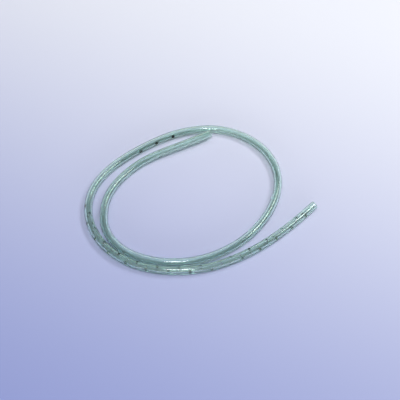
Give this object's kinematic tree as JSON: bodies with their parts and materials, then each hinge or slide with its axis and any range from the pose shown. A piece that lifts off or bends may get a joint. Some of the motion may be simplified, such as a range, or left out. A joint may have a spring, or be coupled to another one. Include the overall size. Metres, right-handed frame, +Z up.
{
  "type": "wound drainage tube",
  "caption": "Soft clear tube with a perforated end for draining a wound, lying in a loose loop on the surface below it.",
  "frame": {"origin": "under the middle of the loop's outline, on the surface that the tube lies on", "axes": "+Z up; +X along the loop's longest side, towards the perforated tip; +Y away from the picture's camera, towards the plain end"},
  "size_m": [0.1153, 0.0959, 0.0054],
  "materials": {
    "clear_tubing": "clear soft PVC with a faint green cast and a glossy skin"
  },
  "bodies": {
    "root": {"drainage_tube": "clear_tubing"}
  },
  "joints": []
}
